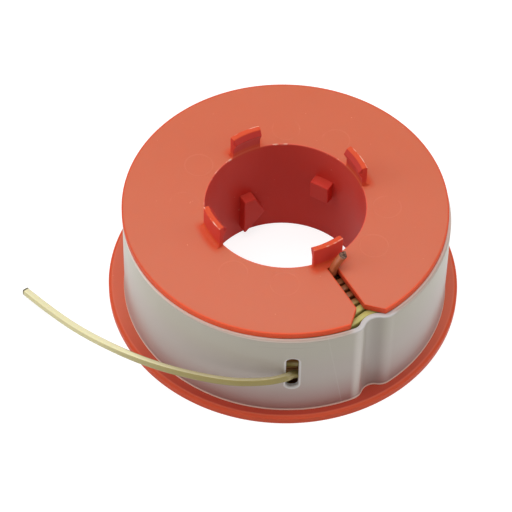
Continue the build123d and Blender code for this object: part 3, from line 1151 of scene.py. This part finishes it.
def line_nylon():
    """Pale yellow nylon, with painted light: lit and shaded faces on the tail, which darkens near
    the band, wound turns painted darker lower down and browner deep inside as shade, and painted
    red light behind the band's slot; its ends are stained.
    """
    material, tree, surface = plastic("line_nylon", roughness=0.25, specular=0.3)
    finish = moulded_finish(tree)
    at = coordinates(tree)
    facing = tree.nodes.new("ShaderNodeAttribute")
    facing.attribute_name = "upward"

    # Painted light and shade: lit upper faces, shaded lower faces, darker near the band
    shaded_side = mixed(tree, rising(tree, at.radius, start=60.0, full=51.0),
                       TAIL_SHADED_FAR, TAIL_SHADED_NEAR)
    lit_side = mixed(tree, rising(tree, at.radius, start=55.0, full=50.0),
                       TAIL_LIT_FAR, TAIL_LIT_NEAR)
    looks_up = rising(tree, facing.outputs["Fac"], start=0.80, full=0.86)
    wound = rising(tree, at.radius, start=45.6, full=45.0)
    # Painted shade on the wound turns lower down
    turns = mixed(tree, rising(tree, at.height, start=27.0, full=29.5), TURNS_LOW_SHADE, TURNS_HIGH)
    # Painted shade on the turns wound deep inside
    deep_shade = rising(tree, at.radius, start=39.5, full=35.5)
    # Painted dim red light on the turns behind the band's slot
    behind_slot = product(tree, rising(tree, at.height, start=27.0, full=24.0),
                          rising(tree, at.radius, start=44.4, full=43.4))
    tip = along_heading(tree, at, *TAIL_TIP_HEADING)

    colour = painted(tree, mixed(tree, looks_up, shaded_side, lit_side), (
        (weaker(tree, finish["Cloud"], share=0.12), LINE_CLOUD),
        (wound, turns),
        (deep_shade, TURNS_DEEP_SHADE),
        (behind_slot, TURNS_BEHIND_SLOT_RED_LIGHT),
        (rising(tree, tip, start=42.6, full=42.95), TIP_STAIN),
        (rising(tree, at.height, start=32.2, full=33.0), STUB_BROWN),
    ))
    fill(tree, surface["Base Color"], colour)
    let_light_in(surface, share=0.3, spread=(1.0, 0.9, 0.4), depth=0.8)
    return material


def cut_end():
    """The dark, crumbly face of a cut line."""
    material, tree, surface = plastic("line_cut_end", roughness=0.6, specular=0.2)
    crumbs = rising(tree, noise(tree, object_place(tree), scale=1500.0), start=0.4, full=0.65)
    fill(tree, surface["Base Color"], mixed(tree, crumbs, CUT_DARK, CUT_CRUMBS))
    return material


def dress(piece, materials, slot, *nodes):
    for material in materials:
        piece.data.materials.append(material)
    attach(piece, "root")
    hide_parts(*nodes)


# Floor, light and camera

def rays_of(tree, *kinds):
    """1 for a ray of any of these kinds."""
    path = tree.nodes.new("ShaderNodeLightPath").outputs
    shown = path[kinds[0]]
    for kind in kinds[1:]:
        shown = maths(tree, "MAXIMUM", shown, path[kind])
    return shown


def show_by_ray(tree, shown, otherwise, seen, out):
    """Sends one shader to an output for the rays that show it, and another for the rest."""
    either = tree.nodes.new("ShaderNodeMixShader")
    for socket, value in zip(either.inputs, (shown, otherwise, seen)):
        tree.links.new(value, socket)
    tree.links.new(either.outputs[0], tree.nodes.new(out).inputs["Surface"])


def stage_floor():
    nothing_selected()
    bpy.ops.mesh.primitive_plane_add(size=FLOOR_SIZE, location=(0, 0, 0))
    floor = bpy.context.object
    floor.name = "floor"
    material = bpy.data.materials.new("floor")
    material.use_nodes = True
    tree = material.node_tree
    tree.nodes.clear()
    bounce = tree.nodes.new("ShaderNodeBsdfDiffuse")
    bounce.inputs["Color"].default_value = FLOOR_BOUNCE
    pale = tree.nodes.new("ShaderNodeBsdfDiffuse")
    pale.inputs["Color"].default_value = FLOOR_SEEN
    glow = tree.nodes.new("ShaderNodeEmission")
    glow.inputs["Strength"].default_value = FLOOR_GLOW
    seen = tree.nodes.new("ShaderNodeAddShader")
    tree.links.new(pale.outputs[0], seen.inputs[0])
    tree.links.new(glow.outputs[0], seen.inputs[1])
    shown = rays_of(tree, "Is Camera Ray", "Is Glossy Ray")
    show_by_ray(tree, shown, bounce.outputs[0], seen.outputs[0], "ShaderNodeOutputMaterial")
    floor.data.materials.append(material)


def white_room():
    world = bpy.context.scene.world or bpy.data.worlds.new("room")
    bpy.context.scene.world = world
    world.use_nodes = True
    tree = world.node_tree
    tree.nodes.clear()
    lit = tree.nodes.new("ShaderNodeBackground")
    lit.inputs["Strength"].default_value = ROOM_LIGHT
    seen = tree.nodes.new("ShaderNodeBackground")
    seen.inputs["Strength"].default_value = ROOM_SEEN
    shown = rays_of(tree, "Is Camera Ray", "Is Transmission Ray", "Is Glossy Ray")
    show_by_ray(tree, shown, lit.outputs[0], seen.outputs[0], "ShaderNodeOutputWorld")


def soft_lamp(name, place, size, watts):
    lamp = bpy.data.lights.new(name, "AREA")
    lamp.shape = "SQUARE"
    lamp.size = size
    lamp.energy = watts
    holder = bpy.data.objects.new(name, lamp)
    holder.location = place
    holder.rotation_euler = (-Vector(place)).to_track_quat("-Z", "Y").to_euler()
    bpy.context.scene.collection.objects.link(holder)


def photo_camera():
    tilt, pan, roll = CAMERA_TILT, CAMERA_PAN, CAMERA_ROLL
    ahead = math.cos(tilt)
    forward = Vector((math.sin(pan) * ahead, math.cos(pan) * ahead, -math.sin(tilt)))
    level = Vector((math.cos(pan), -math.sin(pan), 0.0))
    down = forward.cross(level)
    right = level * math.cos(roll) + down * math.sin(roll)
    below = -level * math.sin(roll) + down * math.cos(roll)
    turned = Matrix((right, -below, -forward)).transposed().to_4x4()
    data = bpy.data.cameras.new("camera")
    data.sensor_width = SENSOR_WIDTH
    data.lens = CAMERA_FOCUS_PX / PHOTO_SIZE * SENSOR_WIDTH
    camera = bpy.data.objects.new("camera", data)
    camera.matrix_world = Matrix.Translation(CAMERA_PLACE) @ turned
    bpy.context.scene.collection.objects.link(camera)
    bpy.context.scene.camera = camera


FINISH = finish_group()
spool = spool_moulding()
band = band_sleeve()
line, line_path, line_length = trimmer_line()
dress(spool, [spool_plastic()], "spool_plastic", "spool")
dress(band, [band_plastic()], "band_plastic", "retaining_band")
dress(line, [line_nylon(), cut_end()], "line_nylon", "line_winding", "line_tail", "line_inner_end")

stage_floor()
white_room()
for lamp in LAMPS:
    soft_lamp(*lamp)
photo_camera()
bpy.context.scene.view_settings.view_transform = "Standard"
